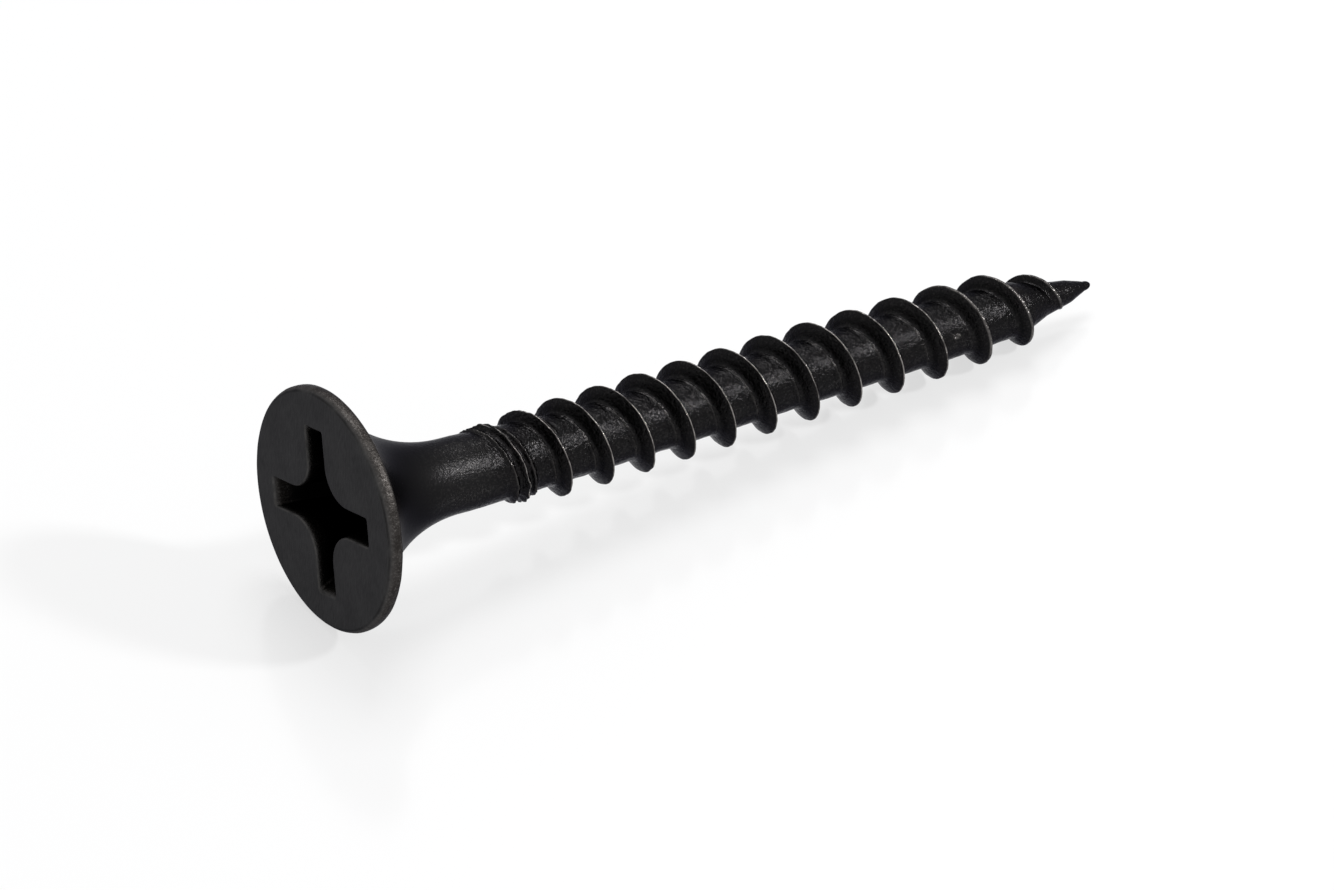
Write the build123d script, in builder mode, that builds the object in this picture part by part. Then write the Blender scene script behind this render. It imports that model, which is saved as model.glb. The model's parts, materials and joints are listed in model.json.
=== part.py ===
"""Drywall screw: bugle head, cross recess, smooth neck, coarse right-hand thread and sharp point.

Lengths are millimetres. The screw is first modelled along its own axis, with the
head's face at zero and the point upwards. It is then laid down as it comes to rest:
the rim of the head and the thread near the point touch the ground at Z = 0.
"""

import os
from math import atan, cos, degrees, radians, sin, tan

from build123d import *

# Whole screw
screw_length = 31.8

# Bugle head; the flare's line from the seat meets the neck's line at the knee
head_diameter = 8.5
rim_height = 0.50
rim_chamfer = 0.20
rim_overhang = 0.55
seat_drop = 0.12
bugle_length = 4.4
bugle_knee = 1.7

# Neck, core and point
neck_diameter = 2.62
neck_length = 0.78
core_diameter = 2.40
core_blend_length = 1.6
core_end_diameter = 2.06
point_length = 4.4
nose_length = 1.1
nose_diameter = 0.84
tip_diameter = 0.14

# Coarse thread, single start, right-hand, with a sharp crest
thread_diameter = 3.30
thread_pitch = 1.78
thread_angle = 60.0
ridge_height = 0.60
thread_gap = 0.22
thread_end_diameter = 1.26
bare_point = 1.5

# Crest diameter turn by turn, as a share of the full thread's, where it grows and where it closes
grow_shares = [0.82, 0.96, 1.0]
close_shares = [1.0, 0.96, 0.92, 0.85, 0.689]

# Cross recess
recess_span = 5.4
wing_width = 1.06
wing_corner_round = 1.15
wing_depth = 2.5
wing_end_diameter = 2.3
recess_depth = 3.1
recess_draft = 5.0
recess_turn = -18.4

# Heights along the axis, from the head's face
seat_height = rim_height + seat_drop
bugle_end = seat_height + bugle_length
neck_end = bugle_end + neck_length
core_start = neck_end + core_blend_length
point_start = screw_length - point_length
nose_start = screw_length - nose_length
thread_start = neck_end + thread_gap
thread_end = screw_length - bare_point

# Crest diameter at each turn where it changes; the last stretch is 0.3 to 1.3 turns long
thread_turns = (thread_end - thread_start) / thread_pitch
last_stretch = (thread_turns - 0.3) % 1 + 0.3
close_turn = round(thread_turns - last_stretch) - len(close_shares) + 1
crest_diameters = {}
for turn, share in enumerate(grow_shares):
    crest_diameters[turn] = share * thread_diameter
for turn, share in enumerate(close_shares, start=close_turn):
    crest_diameters[turn] = share * thread_diameter
crest_diameters[thread_turns] = thread_end_diameter
thread_runs = list(zip(crest_diameters.items(), list(crest_diameters.items())[1:]))

# Blank: all that is turned round the axis, from the face to the point
seat_diameter = head_diameter - 2 * rim_overhang
with BuildPart() as blank:
    with BuildSketch(Plane.XZ) as half_outline:
        with BuildLine():
            Polyline(
                (0, 0),
                (head_diameter / 2, 0),
                (head_diameter / 2, rim_height),
                (seat_diameter / 2, seat_height),
            )
            Bezier(
                (seat_diameter / 2, seat_height),
                (neck_diameter / 2, seat_height + bugle_knee),
                (neck_diameter / 2, bugle_end),
            )
            Polyline(
                (neck_diameter / 2, bugle_end),
                (neck_diameter / 2, neck_end),
                (core_diameter / 2, core_start),
                (core_end_diameter / 2, point_start),
                (nose_diameter / 2, nose_start),
                (tip_diameter / 2, screw_length),
                (0, screw_length),
                (0, 0),
            )
        make_face()
        rim_edges = half_outline.vertices().group_by(Axis.X)[-1].sort_by(Axis.Y)
        chamfer(rim_edges[0], rim_chamfer)
    revolve(axis=Axis.Z)

# Thread: one section on every run, made from +X, turned into place, its foot buried in the core
ridge_base = 2 * ridge_height * tan(radians(thread_angle / 2))
ridges = []
for (start_turn, start_diameter), (end_turn, end_diameter) in thread_runs:
    run_length = (end_turn - start_turn) * thread_pitch
    cone_angle = atan((end_diameter - start_diameter) / 2 / run_length)
    with BuildPart() as ridge:
        with BuildLine() as ridge_foot:
            Helix(
                pitch=thread_pitch / cos(cone_angle),
                height=run_length,
                radius=start_diameter / 2 - ridge_height,
                center=(0, 0, thread_start + start_turn * thread_pitch),
                cone_angle=degrees(cone_angle),
            )
        with BuildSketch(Plane(ridge_foot.line @ 0, x_dir=(1, 0, 0), z_dir=(0, -1, 0))):
            with BuildLine():
                Polyline((0, -ridge_base / 2), (ridge_height, 0), (0, ridge_base / 2), close=True)
            make_face()
        sweep(path=ridge_foot.line, is_frenet=True)
    ridges.append(ridge.part)

# Recess: a drafted cross with wide inner corners, kept inside the cone that ends its wings
wing_reach = recess_span + wing_width
with BuildPart() as recess:
    for depth in (0, recess_depth):
        inset = depth * tan(radians(recess_draft))
        with BuildSketch(Plane.XY.offset(depth)) as cross:
            Rectangle(wing_reach, wing_width - 2 * inset, rotation=recess_turn)
            Rectangle(wing_width - 2 * inset, wing_reach, rotation=recess_turn)
            fillet(cross.vertices().group_by(SortBy.DISTANCE)[0], wing_corner_round + inset)
    loft()
    with BuildSketch(Plane.XZ):
        with BuildLine():
            Polyline(
                (0, 0),
                (recess_span / 2, 0),
                (wing_end_diameter / 2, wing_depth),
                (0, recess_depth),
                close=True,
            )
        make_face()
    revolve(axis=Axis.Z, mode=Mode.INTERSECT)

# Screw along its own axis, in one piece
with BuildPart() as straight_screw:
    add(blank.part)
    for ridge_run in ridges:
        add(ridge_run)
    add(recess.part, mode=Mode.SUBTRACT)

# Screw laid down: head to the left, point along +X, the thread starting at the top
dips = []
for (start_turn, start_diameter), (end_turn, end_diameter) in thread_runs:
    if end_turn > close_turn:
        crest_height = thread_start + (start_turn + 0.5) * thread_pitch
        crest_diameter = (start_diameter + end_diameter) / 2
        dips.append(atan((head_diameter - crest_diameter) / 2 / (crest_height - rim_height)))
dip = min(dips)
rest_plane = Plane((0, 0, 0), x_dir=(sin(dip), 0, cos(dip)), z_dir=(cos(dip), 0, -sin(dip)))
with BuildPart() as laid_screw:
    with Locations(rest_plane.location):
        add(straight_screw.part)

laid_box = laid_screw.part.bounding_box()
with BuildPart() as drywall_screw:
    with Locations((-laid_box.center().X, -laid_box.center().Y, -laid_box.min.Z)):
        add(laid_screw.part)

drywall_screw.part.label = "drywall_screw"
os.makedirs("parts", exist_ok=True)
export_step(drywall_screw.part, "parts/drywall_screw.step")
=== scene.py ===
"""Dresses the drywall screw with its finished surface, black phosphate and a pale studio."""

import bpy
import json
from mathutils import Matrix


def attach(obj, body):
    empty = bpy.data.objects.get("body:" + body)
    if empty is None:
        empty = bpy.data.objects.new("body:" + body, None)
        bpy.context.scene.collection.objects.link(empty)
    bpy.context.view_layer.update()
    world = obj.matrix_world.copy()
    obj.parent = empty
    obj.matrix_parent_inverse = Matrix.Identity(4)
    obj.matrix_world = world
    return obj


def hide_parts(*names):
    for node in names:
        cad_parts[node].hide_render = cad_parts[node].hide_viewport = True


bl_info = {
    "name": "Drywall Screw",
    "version": (1, 0, 0),
    "blender": (4, 5, 0),
    "location": "View3D > Sidebar > Screw",
    "description": "Models a bugle-head screw with a rolled coarse thread and its studio",
    "category": "Object",
}

import json
import math

import bmesh
import bpy
import numpy as np
from bpy.props import FloatProperty, FloatVectorProperty, IntProperty, PointerProperty
from mathutils import Matrix, Vector, noise

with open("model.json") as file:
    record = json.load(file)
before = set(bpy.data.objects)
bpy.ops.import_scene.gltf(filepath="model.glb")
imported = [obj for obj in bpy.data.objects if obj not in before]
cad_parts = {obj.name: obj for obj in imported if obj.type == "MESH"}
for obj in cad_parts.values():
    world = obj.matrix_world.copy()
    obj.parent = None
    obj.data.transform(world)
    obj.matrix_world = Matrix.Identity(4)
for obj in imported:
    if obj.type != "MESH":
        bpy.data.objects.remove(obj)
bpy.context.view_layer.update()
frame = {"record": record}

MM = 0.001
NODE = "drywall_screw"

# The screw's own axes: x points up at rest, z runs from the head's face to the point
mounts = {mount["name"]: mount for mount in frame["record"]["mounts"]}
FACE_CENTRE = Vector(mounts["drive_recess"]["pos_m"])
SCREW_AXIS = -Vector(mounts["drive_recess"]["axis"]).normalized()
SCREW_UP = Vector((-SCREW_AXIS.z, 0, SCREW_AXIS.x)).normalized()
SCREW_SIDE = SCREW_AXIS.cross(SCREW_UP)
AXES = Matrix((SCREW_UP, SCREW_SIDE, SCREW_AXIS)).transposed()
LAY_DOWN = Matrix.Translation(FACE_CENTRE) @ AXES.to_4x4()


def stations(*table, unit=MM):
    """Turns pairs of a place along the screw, in millimetres, and a value there into two rows."""
    return np.array(table).T * ((MM,), (unit,))


# Radii of the core and of the crest along the screw, and half the width of the crest's flat
CORE = stations(
    (5.0, 1.31), (5.8, 1.30), (6.5, 1.27), (10.3, 1.14), (17.5, 1.115), (24.7, 1.07),
    (27.7, 0.98), (28.5, 0.92), (29.5, 0.62), (30.75, 0.41), (31.36, 0.22), (31.8, 0.06),
)
CREST = stations(
    (5.9, 1.24), (6.3, 1.34), (6.76, 1.46), (7.65, 1.50), (8.6, 1.65), (9.6, 1.65),
    (15.0, 1.665), (20.0, 1.65), (22.4, 1.62), (25.0, 1.58), (27.0, 1.50), (28.7, 1.29),
    (29.6, 0.86), (30.0, 0.63), (30.4, 0.36), (30.8, 0.10), (31.1, 0.0),
)
LAND = stations((6.0, 0.04), (8.5, 0.018), (22.0, 0.018), (26.5, 0.035), (28.5, 0.055), (30.5, 0.03))

# How far the turns lie from an even spacing, and their slope upwards and sideways
SHIFT = stations(
    (6.0, 0.75), (8.0, 0.51), (10.0, 0.41), (13.0, 0.20), (17.0, 0.01), (23.0, 0.01),
    (28.0, 0.21), (30.0, 0.38),
)
LEAN_UP = stations((7.0, 0.03), (13.0, 0.07), (20.0, 0.06), (27.0, 0.0), unit=1)
LEAN_SIDE = stations(
    (7.0, -0.08), (13.0, -0.10), (20.0, -0.07), (25.0, -0.10), (29.0, -0.20), unit=1
)

# How far the rolled part runs off centre, upwards and sideways
OFF_UP = stations(
    (1.5, 0.0), (5.0, -0.03), (10.0, -0.19), (16.0, -0.13), (22.0, -0.01), (27.0, 0.09), (31.8, 0.09)
)
OFF_SIDE = stations(
    (1.5, 0.0), (5.0, 0.07), (10.0, 0.06), (16.0, 0.01), (22.0, 0.02), (27.0, 0.08), (31.8, -0.06)
)

# The two low folds beside the first turn, where the dies take hold: their radii, their places from
# the crest line, their slope, the half width of their edge and how ragged they are
LEFT_FOLD = stations((6.0, 1.18), (6.5, 1.34), (7.3, 1.45), (7.9, 1.38), (8.6, 0.0))
RIGHT_FOLD = stations((6.0, 1.20), (6.6, 1.38), (7.6, 1.43), (8.4, 1.30), (9.0, 0.0))
LOW_FOLDS = ((-0.44 * MM, LEFT_FOLD), (0.40 * MM, RIGHT_FOLD))
LOW_FOLD_SLOPE = 0.8
LOW_FOLD_EDGE = 0.022 * MM
LOW_FOLD_RAGGED = 0.07 * MM

# The thin fold at the foot of each turn: distance from the flank's foot, half width and height
FOOT_FOLD_GAP = 0.09 * MM
FOOT_FOLD_WIDTH = 0.030 * MM
FOOT_FOLD_HEIGHT = 0.020 * MM

# How ragged the crest is, the fillets of a flank and of a low fold, and the lowest crest that counts
RAGGED = stations((5.9, 0.09), (7.4, 0.09), (8.4, 0.03), (9.5, 0.012), (31.0, 0.010))
FLANK_FILLET = 0.10 * MM
LOW_FOLD_FILLET = 0.04 * MM
LEAST_RISE = 0.05 * MM

# Where the crest's rubbing fades, where it ends, and how strong the rubbing of other edges is
CREST_FADE = (23 * MM, 27 * MM)
POINT_FADE = (28.6 * MM, 29.4 * MM)
CREST_END = 30.2 * MM
LAND_END = 30.4 * MM
LAND_WEAR = 0.45
LOW_FOLD_WEAR = 0.22
FOOT_FOLD_WEAR = 0.12
RIM_WEAR = 0.08
# The recess's lip: rubbing that also stands in for its glint, partly a painted highlight
LIP_WEAR_AND_GLINT = 0.14
DENT_WEAR = 0.5

# A small dent in the core near the point: its middle, and in millimetres its depth and radius and
# the radius and half width of the ring round it, which is rubbed beyond this place sideways
DENT = np.array((0.39, 0.92, 25.12)) * MM
DENT_DEPTH = 0.06
DENT_RADIUS = 0.10
DENT_RING = 0.13
DENT_RING_WIDTH = 0.03
DENT_SIDE = 0.94 * MM

# Rows of one turn of thread, as distances from the crest line in millimetres
HEAD_SIDE_ROWS = (
    0.014, 0.03, 0.06, 0.10, 0.15, 0.20, 0.25, 0.30, 0.335, 0.37, 0.405, 0.44, 0.475, 0.51, 0.56,
    0.64, 0.72, 0.80,
)
POINT_SIDE_ROWS = (
    0.014, 0.03, 0.06, 0.10, 0.15, 0.20, 0.25, 0.30, 0.34, 0.38, 0.42, 0.48, 0.56, 0.64, 0.72, 0.80,
    0.87,
)

# The rim's side and soft rear edge in millimetres: how far in from the rim, how far past its back
RIM_PROFILE = ((0.0, -0.17), (0.01, -0.09), (0.04, -0.04), (0.10, 0.0), (0.30, 0.03))

# Steps of the curves: rim, bugle, point, lip, wall, and a quarter of the recess's outline
RIM_STEPS = 8
BUGLE_STEPS = 32
POINT_STEPS = 6
LIP_STEPS = 6
WALL_STEPS = 14
END_STEPS = 4
CORNER_STEPS = 5
SIDE_STEPS = 9
PAD_STEPS = 24

# Rings on the face between the recess and the rim, as shares of the way
FACE_RINGS = (0.15, 0.35, 0.6, 0.9)

# Vertices closer than MERGE are one, a loop is found within NEAR of its place, NECK_GAP lies between
# the head's skin and the rolled part before they are joined, and swelling eases off inside LEAST_RADIUS
MERGE = 0.002 * MM
NEAR = 0.02 * MM
NECK_GAP = 0.05 * MM
LEAST_RADIUS = 0.05 * MM
TINY = 1e-7

# Lamps: distance, direction across, ahead and up, power in watts and width
LAMPS = {
    "key": (0.42, (0.78, -0.12, 0.60), 1.00, 0.05),
    "softbox": (0.50, (0.0, 0.42, 0.90), 1.25, 0.22),
}


class ScrewSizes(bpy.types.PropertyGroup):
    """Sizes of the screw's finished surface."""

    head_diameter: FloatProperty(
        name="Head", description="Diameter over the rim", default=8.5 * MM, unit="LENGTH"
    )
    rim_round: FloatProperty(
        name="Rim round", description="Radius of the rim's front edge", default=0.24 * MM,
        unit="LENGTH"
    )
    rim_back: FloatProperty(
        name="Rim back", description="Where the rim ends behind the face", default=0.53 * MM,
        unit="LENGTH"
    )
    seat_radius: FloatProperty(
        name="Seat", description="Radius where the bugle starts", default=3.68 * MM, unit="LENGTH"
    )
    seat_run: FloatProperty(
        name="Seat run", description="Distance from the rim's back to the bugle's curve",
        default=0.10 * MM, unit="LENGTH"
    )
    neck_radius: FloatProperty(
        name="Neck", description="Radius of the plain neck", default=1.31 * MM, unit="LENGTH"
    )
    neck_start: FloatProperty(
        name="Neck start", description="Where the bugle meets the neck", default=5.0 * MM,
        unit="LENGTH"
    )
    neck_cut: FloatProperty(
        name="Neck cut", description="Where the rolled part meets the head's skin",
        default=5.5 * MM, unit="LENGTH"
    )
    point_cut: FloatProperty(
        name="Point cut", description="Where the rounded end of the point starts",
        default=31.5 * MM, unit="LENGTH"
    )
    tip: FloatProperty(
        name="Tip", description="Where the point ends", default=31.80 * MM, unit="LENGTH"
    )
    pitch: FloatProperty(
        name="Pitch", description="Distance between turns", default=1.78 * MM, unit="LENGTH"
    )
    first_crest: FloatProperty(
        name="First crest", description="Where the crest line starts, on top", default=6.02 * MM,
        unit="LENGTH"
    )
    flank_angle: FloatProperty(
        name="Flank", description="Angle of a flank from the plane across", default=math.radians(30),
        unit="ROTATION"
    )
    turns: IntProperty(
        name="Turns", description="Turns that are wound before the ends are cut", default=17
    )
    turn_steps: IntProperty(name="Steps", description="Steps in one turn of the thread", default=144)
    head_steps: IntProperty(name="Head steps", description="Steps round the head", default=288)


class RecessSizes(bpy.types.PropertyGroup):
    """Sizes of the cross recess."""

    span: FloatProperty(
        name="Span", description="Width over two opposite wings", default=5.9 * MM, unit="LENGTH"
    )
    wing_width: FloatProperty(
        name="Wing", description="Width of a wing at the face", default=1.04 * MM, unit="LENGTH"
    )
    wing_slope: FloatProperty(
        name="Wing slope", description="How far a wing's end draws in for each unit of depth",
        default=0.60
    )
    pad_round: FloatProperty(
        name="Pad round", description="Radius of the pads between the wings", default=1.2 * MM,
        unit="LENGTH"
    )
    tip_round: FloatProperty(
        name="Tip round", description="Radius in a wing's outer corners", default=0.10 * MM,
        unit="LENGTH"
    )
    lip: FloatProperty(
        name="Lip", description="Radius of the soft lip at the face", default=0.07 * MM, unit="LENGTH"
    )
    depth: FloatProperty(
        name="Depth", description="Depth of the recess", default=3.0 * MM, unit="LENGTH"
    )
    wall_share: FloatProperty(
        name="Wall", description="Share of the depth where the walls end", default=0.8,
        subtype="FACTOR"
    )
    draft: FloatProperty(
        name="Draft", description="Slope of the walls", default=math.radians(5), unit="ROTATION"
    )
    turn: FloatProperty(
        name="Turn", description="Direction of a wing from the top", default=math.radians(-16.4),
        unit="ROTATION"
    )
    centre: FloatVectorProperty(
        name="Centre", description="Middle of the recess from the axis, up and sideways", size=2,
        default=(-0.10 * MM, -0.10 * MM), unit="LENGTH"
    )


class FinishLook(bpy.types.PropertyGroup):
    """Colours of the phosphated steel, as it reflects light, a near-black painted shade, and the height
    of its grain.
    """

    charcoal: FloatVectorProperty(
        name="Charcoal", description="Phosphate on the head", subtype="COLOR",
        default=(0.042, 0.0415, 0.042)
    )
    soot: FloatVectorProperty(
        name="Soot", description="Phosphate on the rolled part", subtype="COLOR",
        default=(0.0100, 0.0097, 0.0101)
    )
    brown: FloatVectorProperty(
        name="Brown", description="Thin phosphate behind the rim", subtype="COLOR",
        default=(0.045, 0.037, 0.031)
    )
    worn: FloatVectorProperty(
        name="Worn", description="Rubbed edges", subtype="COLOR", default=(0.235, 0.222, 0.212)
    )
    # Painted shade: near black, painted into the recess, onto the flanks near their feet and into a thin
    # line round the face's edge, where shade falls
    painted_shade: FloatVectorProperty(
        name="Shade", description="Painted shade in the recess and on the flanks", subtype="COLOR",
        default=(0.0006, 0.0006, 0.0006)
    )
    grain: FloatProperty(
        name="Grain", description="Height of the finish's grain", default=0.04 * MM, unit="LENGTH"
    )


class StudioLook(bpy.types.PropertyGroup):
    """Camera and studio."""

    elevation: FloatProperty(
        name="Elevation", description="How far the camera looks down", default=math.radians(36.45),
        unit="ROTATION"
    )
    heading: FloatProperty(
        name="Heading", description="Compass direction of the view", default=math.radians(56.20),
        unit="ROTATION"
    )
    lens: FloatProperty(name="Lens", description="Focal length", default=242.88, unit="CAMERA")
    stand: FloatVectorProperty(
        name="Stand", description="Camera from the head's face: to the right, above and behind",
        size=3, default=(11.462 * MM, 2.195 * MM, 298.8 * MM), unit="LENGTH"
    )
    paper: FloatVectorProperty(
        name="Paper", description="Floor colour", subtype="COLOR", default=(0.9, 0.9, 0.905)
    )
    glow: FloatProperty(
        name="Glow", description="Share of the floor's white that no shadow dims", default=0.70,
        subtype="FACTOR"
    )
    mirror: FloatProperty(
        name="Mirror", description="Share of the floor's soft mirror image", default=0.05,
        subtype="FACTOR"
    )
    fill: FloatProperty(
        name="Fill", description="Strength of the light from all round", default=0.36
    )


def smooth_max(a, b, blend):
    """The larger of two radii, with a fillet where they cross."""
    overlap = np.maximum(blend - np.abs(a - b), 0) / blend
    return np.maximum(a, b) + overlap * overlap * blend / 4


def ease(value, low, high):
    """Goes smoothly from 0 at low to 1 at high."""
    share = np.clip((value - low) / (high - low), 0, 1)
    return share * share * (3 - 2 * share)


def lumps(places, scale):
    """Soft noise, about -1 to 1, at a number of lumps per millimetre."""
    return np.array([noise.noise(place) for place in places * (scale / MM)])


def vertex_places(mesh):
    """The places of a mesh's vertices, as rows of an array."""
    return np.array([vert.co[:] for vert in mesh.verts])


def move_vertices(mesh, places):
    """Puts the vertices at new places."""
    for vert, place in zip(mesh.verts, places.tolist()):
        vert.co = place


def set_layer(mesh, name, values):
    """Writes one value for each vertex."""
    layer = mesh.verts.layers.float[name]
    for vert, value in zip(mesh.verts, values.tolist()):
        vert[layer] = value


def boundary_near(mesh, distance):
    """Edges of the open loop that lies at a distance from the face."""
    edges = [edge for edge in mesh.edges if edge.is_boundary]
    return [edge for edge in edges if all(abs(vert.co.z - distance) < NEAR for vert in edge.verts)]


def low_folds(radius, core, offset, crest_height, ragged):
    """Adds the low folds beside the first turn: the new radius, and how near a fold's edge it is."""
    edge = np.zeros_like(radius)
    for place, table in LOW_FOLDS:
        top = np.interp(crest_height, *table)
        low = top - np.abs(offset - place) / LOW_FOLD_SLOPE
        radius = smooth_max(radius, low + LOW_FOLD_RAGGED * ragged, LOW_FOLD_FILLET)
        close = np.exp(-(((offset - place) / LOW_FOLD_EDGE) ** 2))
        edge = np.maximum(edge, close * (top > core + NEAR))
    return radius, edge


def crest_rubbing(offset, crest_height, core, crest, land):
    """How rubbed the crest line and its flat are, fading towards the point."""
    on_crest = (np.abs(offset) < NEAR) & (crest > core + LEAST_RISE) & (crest_height < CREST_END)
    line = (1 - 0.65 * ease(crest_height, *CREST_FADE) - 0.2 * ease(crest_height, *POINT_FADE)) * on_crest
    on_land = (np.abs(offset) < land + MERGE) & (crest_height > CREST_FADE[0]) & (crest_height < LAND_END)
    return np.maximum(line, LAND_WEAR * on_land)


def painted_flank_shade(rise, crest_height):
    """Painted shade on a flank: deepest near its foot, none on the core and on the first and last turns.
    """
    painted_shade = 0.5 * ease(rise, 0.06, 0.22) * (1 - 0.9 * ease(rise, 0.3, 0.85))
    painted_shade = painted_shade * ease(crest_height, 7.4 * MM, 8.6 * MM)
    return painted_shade * (1 - ease(crest_height, 29.0 * MM, 30.0 * MM))


def thread_shape(places, sizes):
    """Places, rubbing and painted shade of the rolled part's vertices, from the evenly wound skin."""
    wound = places[:, 2]
    turn = np.arctan2(places[:, 1], places[:, 0]) / math.tau % 1
    half = sizes.pitch / 2
    offset = (wound - sizes.first_crest - sizes.pitch * turn + half) % sizes.pitch - half
    height = wound + np.interp(wound, *SHIFT)
    crest_height = height - offset
    slope = math.tan(sizes.flank_angle)
    core = np.interp(height, *CORE)
    ragged = lumps(places, 2.6) + 0.6 * lumps(places, 7.0)
    crest = np.interp(crest_height, *CREST) + ragged * np.interp(crest_height, *RAGGED)
    land = np.interp(crest_height, *LAND)
    flank = crest - np.maximum(np.abs(offset) - land, 0) / slope
    radius = smooth_max(core, flank, FLANK_FILLET)
    radius, edge = low_folds(radius, core, offset, crest_height, ragged)

    # The thin fold that rolling leaves at the foot of each turn, on the head's side
    foot = (crest - core) * slope + land + FOOT_FOLD_GAP
    fold = np.exp(-(((offset + foot) / FOOT_FOLD_WIDTH) ** 2))
    fold = fold * ease(crest_height, 7.6 * MM, 8.6 * MM) * (1 - ease(crest_height, 24 * MM, 28 * MM))
    radius = radius + FOOT_FOLD_HEIGHT * fold * (1 + 0.6 * ragged)

    rubbed = np.maximum(FOOT_FOLD_WEAR * fold, LOW_FOLD_WEAR * edge)
    rubbed = np.maximum(rubbed, crest_rubbing(offset, crest_height, core, crest, land))
    rise = (radius - core) / np.maximum(crest - core, LEAST_RISE)
    across = np.hypot(places[:, 0], places[:, 1])
    moved = places * (radius / across)[:, None]
    moved[:, 2] = height
    return moved, rubbed, painted_flank_shade(rise, crest_height)


def wind_thread(mesh, sizes):
    """Winds the rows of the thread round the axis as one skin from the neck to the point."""
    rows = [-row for row in reversed(HEAD_SIDE_ROWS)] + [0.0] + list(POINT_SIDE_ROWS)
    turns = range(-2, sizes.turns - 2)
    heights = [sizes.first_crest + turn * sizes.pitch + row * MM for turn in turns for row in rows]
    line = [mesh.verts.new((sizes.neck_radius, 0, height)) for height in heights]
    edges = [mesh.edges.new(pair) for pair in zip(line, line[1:])]
    bmesh.ops.spin(
        mesh,
        geom=line + edges,
        cent=(0, 0, 0),
        axis=(0, 0, 1),
        dvec=(0, 0, sizes.pitch / sizes.turn_steps),
        angle=math.tau,
        steps=sizes.turn_steps,
        use_merge=False,
        use_duplicate=False,
    )
    bmesh.ops.remove_doubles(mesh, verts=mesh.verts, dist=MERGE)
    places, rubbed, painted_shade = thread_shape(vertex_places(mesh), sizes)
    move_vertices(mesh, places)
    set_layer(mesh, "wear", rubbed)
    # The flanks' painted shade, kept for the material
    set_layer(mesh, "painted_shade", painted_shade)
    for height, side in ((sizes.neck_cut, (0, 0, -1)), (sizes.point_cut, (0, 0, 1))):
        bmesh.ops.bisect_plane(
            mesh,
            geom=mesh.verts[:] + mesh.edges[:] + mesh.faces[:],
            dist=TINY,
            plane_co=(0, 0, height),
            plane_no=side,
            clear_outer=True,
        )


def extrude_loop(mesh, edges):
    """Extrudes an open loop and gives its new vertices and edges."""
    grown = bmesh.ops.extrude_edge_only(mesh, edges=edges)["geom"]
    verts = [item for item in grown if isinstance(item, bmesh.types.BMVert)]
    return verts, [item for item in grown if isinstance(item, bmesh.types.BMEdge)]


def round_point(mesh, sizes):
    """Rounds the end of the point from its cut loop."""
    edges = boundary_near(mesh, sizes.point_cut)
    start = np.interp(sizes.point_cut, *CORE)
    for step in range(1, POINT_STEPS + 1):
        angle = math.radians(90 * step / POINT_STEPS)
        verts, edges = extrude_loop(mesh, edges)
        for vert in verts:
            flat = vert.co.to_2d().normalized() * max(start * math.cos(angle), TINY)
            height = sizes.point_cut + (sizes.tip - sizes.point_cut) * math.sin(angle)
            vert.co = (flat.x, flat.y, height)
    bmesh.ops.pointmerge(mesh, verts=verts, merge_co=(0, 0, sizes.tip))


def head_outline(sizes):
    """Half outline of the head, from its face to the plain neck."""
    rim = sizes.head_diameter / 2
    points = []
    for step in range(RIM_STEPS + 1):
        angle = math.radians(90 * step / RIM_STEPS)
        inset = sizes.rim_round * (1 - math.sin(angle))
        points.append((rim - inset, sizes.rim_round * (1 - math.cos(angle))))
    for inset, past in RIM_PROFILE:
        points.append((rim - inset * MM, sizes.rim_back + past * MM))
    points.append((sizes.seat_radius + 0.10 * MM, sizes.rim_back + 0.06 * MM))

    # The bugle is an arc that ends along the neck
    rise = sizes.seat_radius - sizes.neck_radius
    run = sizes.neck_start - sizes.rim_back - sizes.seat_run
    radius = (run * run + rise * rise) / (2 * rise)
    sweep = 2 * math.atan(rise / run)
    for step in range(BUGLE_STEPS + 1):
        angle = sweep * (1 - step / BUGLE_STEPS)
        across = sizes.neck_radius + radius * (1 - math.cos(angle))
        points.append((across, sizes.neck_start - radius * math.sin(angle)))
    points.append((sizes.neck_radius, sizes.neck_start + 0.2 * MM))
    points.append((sizes.neck_radius, sizes.neck_cut - NECK_GAP))
    return points


def turn_head(mesh, sizes):
    """Spins the head's outline into a skin and joins it to the cut neck."""
    wear = mesh.verts.layers.float["wear"]
    rim = sizes.head_diameter / 2
    points = head_outline(sizes)
    line = [mesh.verts.new((across, 0, height)) for across, height in points]
    for vert in line:
        vert[wear] = RIM_WEAR * ease(vert.co.x, rim - 0.20 * MM, rim - 0.04 * MM)
    edges = [mesh.edges.new(pair) for pair in zip(line, line[1:])]
    bmesh.ops.spin(
        mesh,
        geom=line + edges,
        cent=(0, 0, 0),
        axis=(0, 0, 1),
        dvec=(0, 0, 0),
        angle=math.tau,
        steps=sizes.head_steps,
        use_merge=True,
        use_duplicate=False,
    )
    joint = boundary_near(mesh, points[-1][1]) + boundary_near(mesh, sizes.neck_cut)
    bmesh.ops.bridge_loops(mesh, edges=joint)


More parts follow.
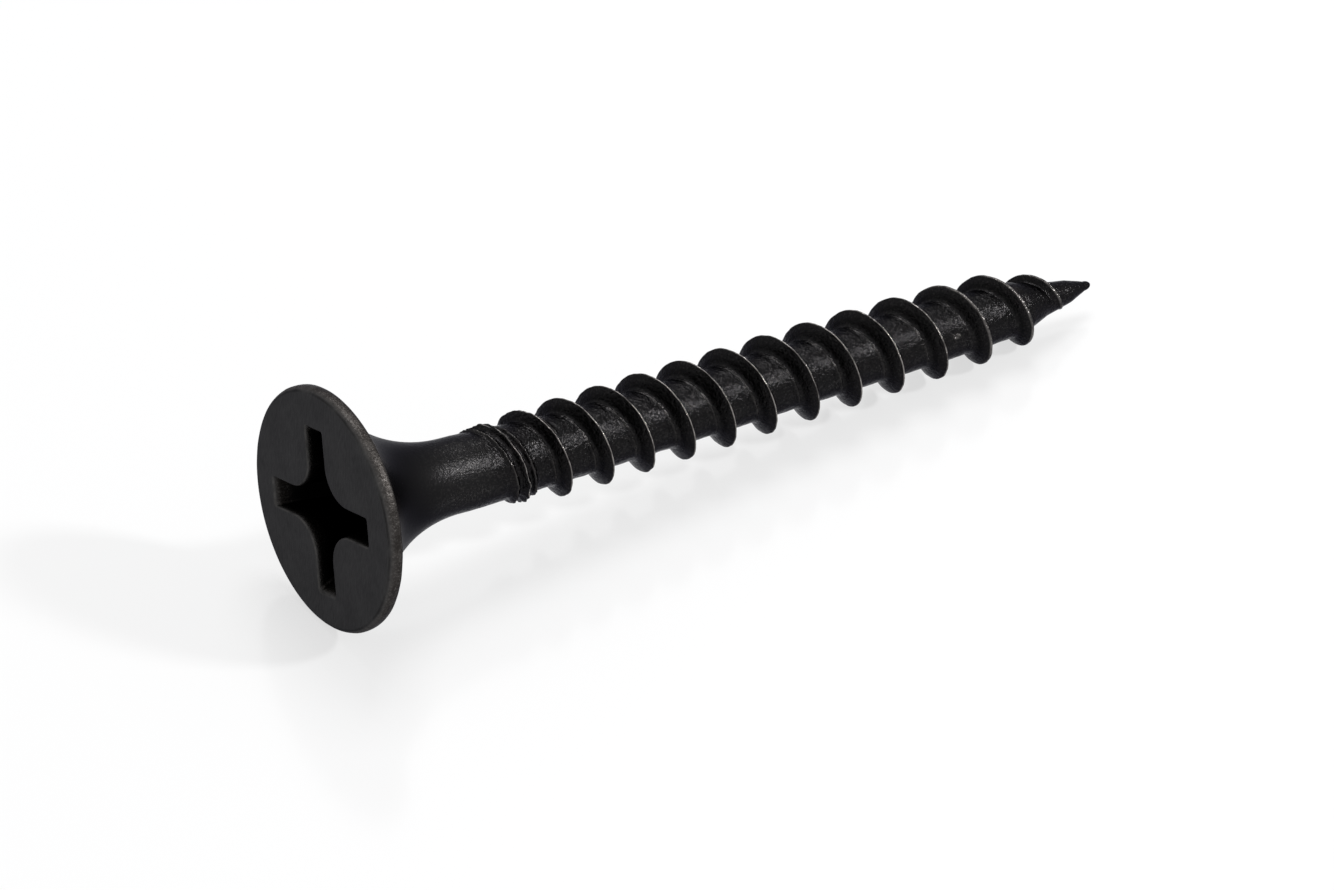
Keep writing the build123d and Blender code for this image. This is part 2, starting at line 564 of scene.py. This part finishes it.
def recess_outline(recess, depth, lip):
    """Outline of the cross at a depth, widened by the lip: a closed list of points."""
    draft = depth * math.tan(recess.draft)
    half = recess.wing_width / 2 - draft + lip
    reach = recess.span / 2 - depth * recess.wing_slope + lip
    widest_pad = reach - half - recess.tip_round - NEAR
    pad = min(recess.pad_round + draft - lip, widest_pad)
    corner = min(recess.tip_round + lip, half * 0.6)
    side_start = reach - corner
    side_end = half + pad

    # One quarter: a wing's end, its corner and side, the round of the pad, and the next wing's side
    quarter = []
    for step in range(END_STEPS + 1):
        quarter.append((reach, -half + corner + (half - corner) * 2 * step / END_STEPS))
    for step in range(1, CORNER_STEPS + 1):
        angle = math.radians(90 * step / CORNER_STEPS)
        quarter.append((side_start + corner * math.cos(angle), half - corner + corner * math.sin(angle)))
    for step in range(1, SIDE_STEPS + 1):
        quarter.append((side_start + (side_end - side_start) * step / SIDE_STEPS, half))
    for step in range(1, PAD_STEPS):
        angle = math.radians(90 * step / PAD_STEPS)
        quarter.append((side_end - pad * math.sin(angle), side_end - pad * math.cos(angle)))
    for step in range(SIDE_STEPS):
        quarter.append((half, side_end + (side_start - side_end) * step / SIDE_STEPS))
    for step in range(CORNER_STEPS):
        angle = math.radians(90 * step / CORNER_STEPS)
        quarter.append((half - corner + corner * math.cos(angle), side_start + corner * math.sin(angle)))

    points = []
    for quadrant in range(4):
        spin = Matrix.Rotation(recess.turn + quadrant * math.pi / 2, 2)
        middle = Vector((*recess.centre, depth))
        points += [(spin @ Vector(point)).to_3d() + middle for point in quarter]
    return points


def recess_levels(recess):
    """Depths of the rings down the walls, each with what is left of the lip there."""
    levels = []
    for step in range(1, LIP_STEPS + 1):
        angle = math.radians(90 * step / LIP_STEPS)
        levels.append((recess.lip * (1 - math.cos(angle)), recess.lip * (1 - math.sin(angle))))
    wall = recess.wall_share * recess.depth - recess.lip
    for step in range(1, WALL_STEPS + 1):
        levels.append((recess.lip + wall * step / WALL_STEPS, 0.0))
    return levels


def sink_recess(mesh, sizes, recess):
    """Makes the face from the lip of the recess out to the rim, and the walls down to the floor."""
    slot = mesh.verts.layers.int["slot"]
    wear = mesh.verts.layers.float["wear"]
    painted_shade = mesh.verts.layers.float["painted_shade"]
    face_radius = sizes.head_diameter / 2 - sizes.rim_round
    mouth = recess_outline(recess, 0.0, recess.lip)
    loop = [mesh.verts.new(point) for point in mouth]
    for number, vert in enumerate(loop):
        vert[slot] = number
    lip_edges = [mesh.edges.new(pair) for pair in zip(loop, loop[1:] + loop[:1])]

    edges = lip_edges
    for share in FACE_RINGS:
        verts, edges = extrude_loop(mesh, edges)
        for vert in verts:
            start = mouth[vert[slot]]
            vert.co = start.lerp(start.normalized() * face_radius, share)
    rim_edges = [
        edge for edge in mesh.edges
        if edge.is_boundary and all(abs(vert.co.length - face_radius) < MERGE for vert in edge.verts)
    ]
    bmesh.ops.bridge_loops(mesh, edges=edges + rim_edges)

    edges = lip_edges
    for depth, lip in recess_levels(recess):
        ring = recess_outline(recess, depth, lip)
        verts, edges = extrude_loop(mesh, edges)
        # Painted shade that darkens the walls with depth
        painted_shade_here = 0.75 * ease(depth, 0.04 * MM, 0.12 * MM) + 0.25 * ease(depth, 0.1 * MM, 0.9 * MM)
        # The lip's rubbing, which also stands in for its glint: partly a painted highlight
        lip_wear_and_glint = ease(depth, 0.0, 0.015 * MM) * (1 - ease(depth, 0.03 * MM, 0.07 * MM))
        for vert in verts:
            vert.co = ring[vert[slot]]
            vert[painted_shade] = painted_shade_here
            vert[wear] = LIP_WEAR_AND_GLINT * lip_wear_and_glint
    verts, edges = extrude_loop(mesh, edges)
    bmesh.ops.pointmerge(mesh, verts=verts, merge_co=(*recess.centre, recess.depth))


def roughen(mesh):
    """Gives the true screw the unevenness of the real one: lumps, a dent, run-off and lean."""
    places = vertex_places(mesh)
    height = places[:, 2]
    across = np.hypot(places[:, 0], places[:, 1])
    rolled = ease(height, 5.4 * MM, 6.4 * MM)
    on_rim = ease(across, 4.02 * MM, 4.15 * MM)
    coarse = lumps(places, 2.2)

    # How far each place swells, in millimetres
    swell = (0.013 * coarse + 0.009 * lumps(places, 6.0)) * rolled * (1 - ease(height, 28 * MM, 31 * MM))
    swell += (0.010 * lumps(places, 0.9) + 0.006 * coarse) * on_rim
    from_dent = np.linalg.norm(places - DENT, axis=1) / MM
    swell -= DENT_DEPTH * np.exp(-((from_dent / DENT_RADIUS) ** 2))
    places[:, :2] *= 1 + (swell * MM / np.maximum(across, LEAST_RADIUS))[:, None]

    # The dent's lower edge is rubbed
    wear = mesh.verts.layers.float["wear"]
    rubbed = np.array([vert[wear] for vert in mesh.verts])
    ring = np.exp(-(((from_dent - DENT_RING) / DENT_RING_WIDTH) ** 2)) * (places[:, 1] > DENT_SIDE)
    set_layer(mesh, "wear", np.maximum(rubbed, DENT_WEAR * ring))
    set_layer(mesh, "rolled", rolled)

    leaning = ease(height, 5.2 * MM, 7.0 * MM) * (1 - ease(height, 30.2 * MM, 31.6 * MM))
    slide = np.interp(height, *LEAN_UP) * places[:, 0] + np.interp(height, *LEAN_SIDE) * places[:, 1]
    places[:, 0] += np.interp(height, *OFF_UP)
    places[:, 1] += np.interp(height, *OFF_SIDE)
    places[:, 2] -= slide * leaning
    move_vertices(mesh, places)


class Signal:
    """A value in a material: arithmetic on it adds Math nodes."""

    def __init__(self, nodes, socket):
        self.nodes = nodes
        self.socket = socket

    def math(self, operation, first, second=0.0):
        """Adds one Math node."""
        return self.nodes.add("ShaderNodeMath", {"operation": operation}, {0: first, 1: second})

    def __add__(self, other):
        return self.math("ADD", self, other)

    __radd__ = __add__

    def __sub__(self, other):
        return self.math("SUBTRACT", self, other)

    def __rsub__(self, other):
        return self.math("SUBTRACT", other, self)

    def __mul__(self, other):
        return self.math("MULTIPLY", self, other)

    __rmul__ = __mul__

    def between(self, low, high):
        """Goes from 0 at low to 1 at high."""
        settings = {"interpolation_type": "SMOOTHSTEP"}
        inputs = {"Value": self, "From Min": low, "From Max": high}
        return self.nodes.add("ShaderNodeMapRange", settings, inputs, "Result")


class Nodes:
    """The nodes of one material or world."""

    def __init__(self, tree):
        self.tree = tree
        tree.nodes.clear()

    def add(self, kind, settings=None, inputs=None, output=0):
        """Adds a node: its settings first, then the values or links of its sockets."""
        node = self.tree.nodes.new(kind)
        for name, value in (settings or {}).items():
            setattr(node, name, value)
        for name, value in (inputs or {}).items():
            socket = node.inputs[name]
            if isinstance(value, Signal):
                self.tree.links.new(value.socket, socket)
            elif socket.type == "RGBA":
                socket.default_value = (*value, 1)
            else:
                socket.default_value = value
        return Signal(self, node.outputs[output]) if node.outputs else None

    def blend(self, share, first, second):
        """Goes from the first colour to the second."""
        return self.add("ShaderNodeMix", {"data_type": "RGBA"}, {0: share, 6: first, 7: second}, 2)

    def noise(self, place, scale, detail=2.0, roughness=0.5, distortion=0.0):
        """Cloudy value from 0 to 1 at a number of lumps per unit of the place."""
        inputs = {"Vector": place, "Scale": scale, "Detail": detail, "Roughness": roughness}
        inputs["Distortion"] = distortion
        return self.add("ShaderNodeTexNoise", None, inputs, "Fac")

    def background_rays(self):
        """1 for the rays that see the background: from the camera, off a mirror or through glass."""
        kinds = ("Is Camera Ray", "Is Glossy Ray", "Is Transmission Ray")
        camera, glossy, through = [self.add("ShaderNodeLightPath", None, None, kind) for kind in kinds]
        return camera + glossy + through

    def attribute(self, name):
        """Value that the mesh holds for each vertex."""
        return self.add("ShaderNodeAttribute", {"attribute_name": name}, None, "Fac")


def phosphate(look):
    """Black phosphate: matte on the head, pitted on the rolled part, rubbed on rim and crests, with
    painted shade in the recess and on the flanks.
    """
    material = bpy.data.materials.new("black_phosphate")
    material.use_nodes = True
    nodes = Nodes(material.node_tree)

    # The screw's own millimetres: the place turned back onto its axes
    place = nodes.add("ShaderNodeTexCoord", None, None, "Object")
    turned = {"Location": FACE_CENTRE, "Rotation": AXES.to_euler(), "Scale": (MM, MM, MM)}
    on_screw = nodes.add("ShaderNodeMapping", {"vector_type": "TEXTURE"}, {"Vector": place, **turned})
    stretch = {"Vector": on_screw, "Rotation": (0, 0, math.radians(35)), "Scale": (3.0, 16.0, 16.0)}
    brushed_place = nodes.add("ShaderNodeMapping", None, stretch)
    height = nodes.add("ShaderNodeSeparateXYZ", None, {"Vector": on_screw}, "Z")

    # The screw's zones, and the painted shade of the recess and the flanks
    wear = nodes.attribute("wear")
    rolled = nodes.attribute("rolled")
    painted_shade = nodes.attribute("painted_shade")
    on_face = 1 - height.between(0.0, 0.08)
    rim = height.between(0.02, 0.12) * (1 - height.between(0.5, 0.62))
    behind = height.between(0.5, 0.62) * (1 - height.between(0.8, 1.8))
    neck = height.between(2.4, 4.8) * (1 - rolled)

    # Its textures, in lumps per millimetre
    fine = nodes.noise(on_screw, 12.0, 2.0, 0.6)
    pits = nodes.noise(on_screw, 7.5, 3.0, 0.6, 0.4)
    clouds = nodes.noise(on_screw, 0.8, 3.0, 0.5)
    brushed = nodes.noise(brushed_place, 1.0, 2.0, 0.5)
    speckle = nodes.noise(on_screw, 13.0, 3.0, 0.7).between(0.47, 0.70)
    patchy = nodes.noise(on_screw, 2.6, 4.0, 0.6).between(0.36, 0.60)

    # Colour: charcoal to soot, brown on the rim, speckles, painted shade in the recess, on the flanks and
    # in a dark line round the face's edge, rubbed edges, which on the recess's lip also stand in for its
    # glint
    colour = nodes.blend(height.between(0.03, 0.25) - 0.12 * neck, look.charcoal, look.soot)
    colour = nodes.blend(0.25 * rim + behind * clouds.between(0.3, 0.7), colour, look.brown)
    smoky = (0.5 * clouds + 0.7 * brushed).between(0.35, 0.85) * on_face
    colour = nodes.blend(smoky * 0.4, colour, look.soot)
    colour = nodes.blend(speckle * (0.18 * rim + 0.08 * neck + 0.06 * rolled), colour, look.worn)
    # A thin dark line where the face turns into the rim, painted shade; it also falls just inside the
    # recess's lip
    line = height.between(0.003, 0.02) * (1 - height.between(0.03, 0.07)) * clouds.between(0.3, 0.6)
    # Painted shade: the recess, the flanks and that line darken towards near black
    colour = nodes.blend(1 - (1 - painted_shade) * (1 - 0.5 * line), colour, look.painted_shade)
    # Rubbed edges; on the recess's lip the rubbing also stands in for its glint, a painted highlight
    colour = nodes.blend(wear * (0.25 + 0.75 * patchy), colour, look.worn)

    # Smoother on the neck and the core, and grainier there
    roughness = 0.52 - 0.13 * height.between(0.0, 0.5) - 0.08 * neck
    roughness = roughness - 0.21 * rolled * (1 - painted_shade) - 0.06 * speckle
    grain = fine * (0.12 + 0.38 * neck + 0.28 * rolled + 0.45 * rim)
    grain = grain + pits * (0.04 + 0.26 * neck + 0.90 * rolled) + brushed * on_face * 0.12
    bump = nodes.add("ShaderNodeBump", None, {"Strength": 1.0, "Distance": look.grain, "Height": grain})

    # A metal with a dim edge tint keeps the black from turning grey where it is seen at a slant
    surface = {
        "Base Color": colour,
        "Roughness": roughness,
        "Metallic": 1.0,
        "Specular Tint": (0.5, 0.5, 0.52),
        "Normal": bump,
    }
    shader = nodes.add("ShaderNodeBsdfPrincipled", None, surface)
    nodes.add("ShaderNodeOutputMaterial", None, {"Surface": shader})
    return material


def paper(look):
    """Pale glossy floor: white to the camera, it keeps the shadow and a faint soft mirror image."""
    material = bpy.data.materials.new("pale_floor")
    material.use_nodes = True
    nodes = Nodes(material.node_tree)
    matte = nodes.add("ShaderNodeBsdfDiffuse", None, {"Color": look.paper})
    lit = nodes.add("ShaderNodeEmission", None, {"Color": (1, 1, 1), "Strength": 1.0})
    gloss = nodes.add("ShaderNodeBsdfAnisotropic", None, {"Color": (1, 1, 1), "Roughness": 0.16})
    glowing = nodes.add("ShaderNodeMixShader", None, {0: look.glow, 1: matte, 2: lit})
    glossy = nodes.add("ShaderNodeMixShader", None, {0: look.mirror, 1: glowing, 2: gloss})
    seen = nodes.background_rays()
    both = nodes.add("ShaderNodeMixShader", None, {0: seen, 1: matte, 2: glossy})
    nodes.add("ShaderNodeOutputMaterial", None, {"Surface": both})
    return material


class SCREW_OT_body(bpy.types.Operator):
    """Models the screw's surface over its solid"""

    bl_idname = "screw.body"
    bl_label = "Screw"

    def execute(self, context):
        sizes = context.scene.screw_sizes
        mesh = bmesh.new()
        for name in ("wear", "rolled", "painted_shade"):
            mesh.verts.layers.float.new(name)
        mesh.verts.layers.int.new("slot")
        wind_thread(mesh, sizes)
        round_point(mesh, sizes)
        turn_head(mesh, sizes)
        sink_recess(mesh, sizes, context.scene.recess_sizes)
        roughen(mesh)
        bmesh.ops.recalc_face_normals(mesh, faces=mesh.faces[:])
        mesh.transform(LAY_DOWN)
        data = bpy.data.meshes.new("screw_surface")
        mesh.to_mesh(data)
        mesh.free()
        data.shade_smooth()
        piece = bpy.data.objects.new("screw_surface", data)
        context.scene.collection.objects.link(piece)
        data.materials.append(phosphate(context.scene.finish_look))
        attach(piece, "root")
        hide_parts(NODE)
        return {"FINISHED"}


class SCREW_OT_studio(bpy.types.Operator):
    """Sets up the floor, the lamps, the background and the camera"""

    bl_idname = "screw.studio"
    bl_label = "Studio"

    def execute(self, context):
        look = context.scene.studio_look
        context.scene.view_settings.view_transform = "Standard"
        bpy.ops.mesh.primitive_plane_add(size=4.0)
        floor = context.object
        floor.name = "floor"
        floor.data.materials.append(paper(look))

        across = Vector((math.sin(look.heading), -math.cos(look.heading), 0))
        level = Vector((math.cos(look.heading), math.sin(look.heading), 0))
        ahead = level * math.cos(look.elevation) - Vector((0, 0, math.sin(look.elevation)))
        above = across.cross(ahead)
        camera = bpy.data.objects.new("camera", bpy.data.cameras.new("camera"))
        camera.data.lens = look.lens
        camera.data.sensor_width = 36
        camera.data.clip_start = 0.01
        stand = FACE_CENTRE + look.stand[0] * across + look.stand[1] * above - look.stand[2] * ahead
        turn = Matrix((across, above, -ahead)).transposed().to_4x4()
        camera.matrix_world = Matrix.Translation(stand) @ turn
        context.scene.collection.objects.link(camera)
        context.scene.camera = camera

        view_axes = Matrix((across, level, Vector((0, 0, 1)))).transposed()
        for name, (distance, direction, power, width) in LAMPS.items():
            light = bpy.data.lights.new(name, "AREA")
            light.energy = power
            light.size = width
            place = distance * (view_axes @ Vector(direction)).normalized()
            holder = bpy.data.objects.new(name, light)
            holder.location = place
            holder.rotation_euler = (-place).to_track_quat("-Z", "Y").to_euler()
            context.scene.collection.objects.link(holder)

        world = context.scene.world or bpy.data.worlds.new("world")
        context.scene.world = world
        world.use_nodes = True
        nodes = Nodes(world.node_tree)
        white = nodes.add("ShaderNodeBackground", None, {"Color": (1, 1, 1), "Strength": 1.0})
        soft = nodes.add("ShaderNodeBackground", None, {"Color": (1, 1, 1), "Strength": look.fill})
        both = nodes.add("ShaderNodeMixShader", None, {0: nodes.background_rays(), 1: soft, 2: white})
        nodes.add("ShaderNodeOutputWorld", None, {"Surface": both})
        return {"FINISHED"}


class SCREW_PT_panel(bpy.types.Panel):
    """Lists the screw's pieces and sizes"""

    bl_idname = "SCREW_PT_panel"
    bl_label = "Drywall Screw"
    bl_space_type = "VIEW_3D"
    bl_region_type = "UI"
    bl_category = "Screw"

    def draw(self, context):
        for group in GROUPS:
            settings = getattr(context.scene, group)
            box = self.layout.box()
            for name in settings.bl_rna.properties.keys():
                if name not in ("rna_type", "name"):
                    box.prop(settings, name)
        self.layout.operator(SCREW_OT_body.bl_idname)
        self.layout.operator(SCREW_OT_studio.bl_idname)


GROUPS = {
    "screw_sizes": ScrewSizes,
    "recess_sizes": RecessSizes,
    "finish_look": FinishLook,
    "studio_look": StudioLook,
}
OPERATORS = (SCREW_OT_body, SCREW_OT_studio)


def register():
    for name, group in GROUPS.items():
        bpy.utils.register_class(group)
        setattr(bpy.types.Scene, name, PointerProperty(type=group))
    for operator in OPERATORS:
        bpy.utils.register_class(operator)
    bpy.utils.register_class(SCREW_PT_panel)


def unregister():
    bpy.utils.unregister_class(SCREW_PT_panel)
    for operator in reversed(OPERATORS):
        bpy.utils.unregister_class(operator)
    for name, group in GROUPS.items():
        delattr(bpy.types.Scene, name)
        bpy.utils.unregister_class(group)


def main():
    register()
    bpy.ops.screw.body()
    bpy.ops.screw.studio()


if __name__ == "__main__":
    main()
